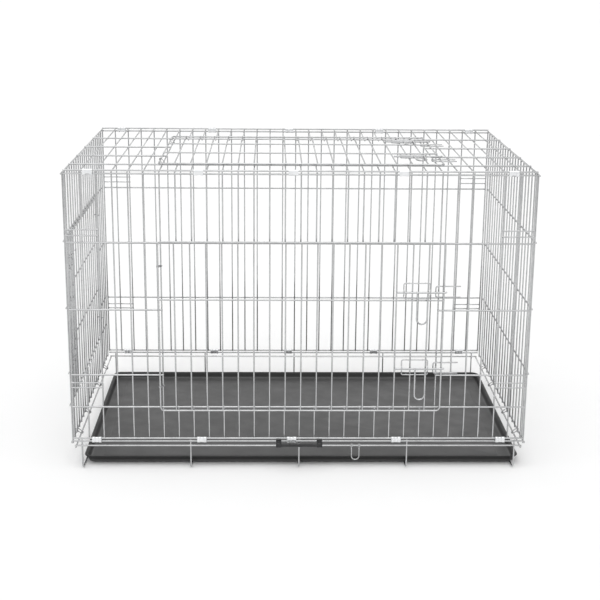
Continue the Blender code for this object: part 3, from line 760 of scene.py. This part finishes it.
def catch():
    """The pan catch: one wire, coiled round the lower front wire at both ends and bent to a U between."""
    x0, x1 = CATCH_X
    y, z = -HALF_Y - CATCH_OUT, Z_LOWER - CATCH_TOP
    half, foot = (x1 - x0) / 2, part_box("tray_catch")[0].z + 0.0014
    bm = bmesh.new()
    path = [Vector((x0, y, z))]
    path += arc((x0 + half, y, foot + half), X, Z, half, math.pi, 2 * math.pi, 14)
    path.append(Vector((x1, y, z)))
    sweep(bm, path, 0.0013, sides=10)
    for x in CATCH_X:
        coil(bm, (x, -HALF_Y, Z_LOWER), X, 0.0023, 0.0012, 1.9, DOWN)
    zinc_piece("tray_catch", bm, "pan_catch")


# ---------------------------------------------------------------- the crate
def latches(prefix, places, plane, middle_u, heights, side):
    for place, v in zip(places, heights):
        latch(prefix, place, plane, middle_u, v, side)


def crate():
    """The five panels, each with its door and latches where it has them."""
    doorway_u = spaced(HALF_X, UPRIGHTS, DOOR_FIRST)
    hinge_u = joint_place("front_door_swing").x
    latch_u = spaced(HALF_X, UPRIGHTS, DOOR_LAST) + PAST_LATCH_SIDE
    middle_u = latch_u - LATCH_FROM_EDGE
    keeper_u = middle_u + KEEPER_FROM_LATCH

    made = panel(FRONT, HALF_X, UPRIGHTS, Z_BOTTOM, Z_TOP_WIRE, LINES, SHORT_LINES,
                 (DOOR_FIRST, DOOR_LAST, DOOR_SILL, DOOR_TOP))
    for v in FRONT_LATCH_V:
        made.keeper(keeper_u, v, 1)
    for v in HINGE_V:
        made.hinge(doorway_u, hinge_u, v)
    made.welds()
    zinc_piece("front_panel", made.bm, "front")
    door("front_door", "front_door_body", FRONT, hinge_u, latch_u, DOOR_SILL - PAST_SILL,
         DOOR_TOP + PAST_LINTEL, DOOR_FILLS)
    latches("front", ("upper", "lower"), FRONT, middle_u, FRONT_LATCH_V, 1)

    made = panel(BACK, HALF_X, UPRIGHTS, Z_BOTTOM, Z_TOP_WIRE, LINES, SHORT_LINES)
    made.welds()
    zinc_piece("back_panel", made.bm, "back")

    made = panel(TOP, HALF_X, UPRIGHTS, -HALF_Y, HALF_Y, TOP_LINES,
                 doorway=(DOOR_FIRST, DOOR_LAST, TOP_SILL, TOP_LINTEL))
    for v in TOP_LATCH_V:
        made.keeper(keeper_u, v, 1)
    for v in TOP_HINGE_V:
        made.hinge(doorway_u, hinge_u, v)
    made.welds()
    zinc_piece("top_panel", made.bm, "top")
    door("top_door", "top_door_body", TOP, hinge_u, latch_u, TOP_SILL - PAST_TOP_SILL,
         TOP_LINTEL + PAST_TOP_LINTEL, DOOR_FILLS)
    latches("top", ("rear", "front"), TOP, middle_u, TOP_LATCH_V, 1)

    end_hinge = joint_place("end_door_swing").y
    end_latch = spaced(END_HALF_Y, END_UPRIGHTS, END_DOOR_FIRST) - PAST_LATCH_SIDE
    end_middle = end_latch + LATCH_FROM_EDGE
    end_doorway = (END_DOOR_FIRST, END_DOOR_LAST, DOOR_SILL, DOOR_TOP)
    for node, body, plane, doorway in (("left_end_panel", "left_end", LEFT, end_doorway),
                                       ("right_end_panel", "right_end", RIGHT, None)):
        made = panel(plane, END_HALF_Y, END_UPRIGHTS, Z_END_BOTTOM, Z_END_TOP, LINES, doorway=doorway)
        for k in EYES:
            u = spaced(END_HALF_Y, END_UPRIGHTS, k)
            rail, foot = plane.point(u, Z_SIDE_RAIL, SIDE_RAIL_X - END_X), plane.point(u, Z_END_BOTTOM, 0)
            wound(made.bm, rail, foot, EYE_ROUND_RAIL, EYE_ROUND_WIRE, plane.along, R_EYE)
        if doorway:
            for v in END_LATCH_V:
                made.keeper(end_middle - KEEPER_FROM_LATCH, v, -1)
            for v in HINGE_V:
                made.hinge(spaced(END_HALF_Y, END_UPRIGHTS, END_DOOR_LAST), end_hinge, v)
        made.welds()
        zinc_piece(node, made.bm, body)
        if doorway:
            door("end_door", "end_door_body", plane, end_hinge, end_latch, DOOR_SILL - PAST_SILL,
                 DOOR_TOP + PAST_LINTEL, END_DOOR_FILLS)
            latches("end", ("upper", "lower"), plane, end_middle, END_LATCH_V, -1)


# ---------------------------------------------------------------- studio
FLOOR_REACH = 60.0
FLOOR_WHITE = (0.90, 0.90, 0.90, 1.0)


def floor_paint():
    """A plain white studio floor."""
    made = Nodes("studio_floor_pale")
    made.shader.inputs["Base Color"].default_value = FLOOR_WHITE
    made.shader.inputs["Roughness"].default_value = 0.85
    made.shader.inputs["Specular IOR Level"].default_value = 0.2
    return made.material


HORIZON, ZENITH = 0.9, 0.25
HORIZON_TOP = 0.50  # sine of the elevation up to which the walls of the studio stay white
SOFTBOX_SPREAD, SOFTBOX_ENERGY, SOFTBOX_TILT = 64, 1.75, (14, -4)  # the angles in degrees
CAMERA_PLACE = (-0.069, -3.168, 1.204)
CAMERA_TURN = (1.384, 15.497, 0.512)  # yaw, pitch down and roll, in degrees
CAMERA_LENS, CAMERA_SENSOR = 76.16, 36.0


def sky_paint(tree):
    """White studio walls that darken towards the ceiling."""
    split = tree.nodes.new("ShaderNodeSeparateXYZ")
    tree.links.new(tree.nodes.new("ShaderNodeTexCoord").outputs["Generated"], split.inputs["Vector"])
    fade = tree.nodes.new("ShaderNodeMapRange")
    fade.interpolation_type = "SMOOTHSTEP"
    fade.inputs["From Min"].default_value = HORIZON_TOP
    fade.inputs["From Max"].default_value = 1.0
    fade.inputs["To Min"].default_value = HORIZON
    fade.inputs["To Max"].default_value = ZENITH
    tree.links.new(split.outputs["Z"], fade.inputs["Value"])
    tree.links.new(fade.outputs["Result"], tree.nodes["Background"].inputs["Strength"])
    tree.nodes["Background"].inputs["Color"].default_value = (1.0, 1.0, 1.0, 1.0)


def studio():
    mesh = bpy.data.meshes.new("studio_floor")
    far = FLOOR_REACH
    mesh.from_pydata([(-far, -far, 0), (far, -far, 0), (far, far, 0), (-far, far, 0)], [], [(0, 1, 2, 3)])
    floor = bpy.data.objects.new("studio_floor", mesh)
    bpy.context.scene.collection.objects.link(floor)
    mesh.materials.append(floor_paint())

    world = bpy.data.worlds.new("studio_world")
    bpy.context.scene.world = world
    world.use_nodes = True
    sky_paint(world.node_tree)

    light = bpy.data.lights.new("overhead_softbox", "SUN")
    light.angle = math.radians(SOFTBOX_SPREAD)
    light.energy = SOFTBOX_ENERGY
    lamp = bpy.data.objects.new("overhead_softbox", light)
    bpy.context.scene.collection.objects.link(lamp)
    lamp.rotation_euler = (*(math.radians(a) for a in SOFTBOX_TILT), 0)
    bpy.context.scene.view_settings.view_transform = "Standard"


def camera():
    yaw, pitch, roll = (math.radians(a) for a in CAMERA_TURN)
    forward = Vector((math.sin(yaw) * math.cos(pitch), math.cos(yaw) * math.cos(pitch), -math.sin(pitch)))
    right = Vector((math.cos(yaw), -math.sin(yaw), 0))
    up = right.cross(forward)
    level_right = right * math.cos(roll) + up * math.sin(roll)
    level_up = up * math.cos(roll) - right * math.sin(roll)
    data = bpy.data.cameras.new("camera")
    data.lens = CAMERA_LENS
    data.sensor_width = CAMERA_SENSOR
    made = bpy.data.objects.new("camera", data)
    bpy.context.scene.collection.objects.link(made)
    turn = Matrix((level_right, level_up, -forward)).transposed()
    made.matrix_world = Matrix.Translation(Vector(CAMERA_PLACE)) @ turn.to_4x4()
    bpy.context.scene.camera = made


camera()
studio()
floor_wires()
crate()
clips()
pan()
carry_handle()
catch()
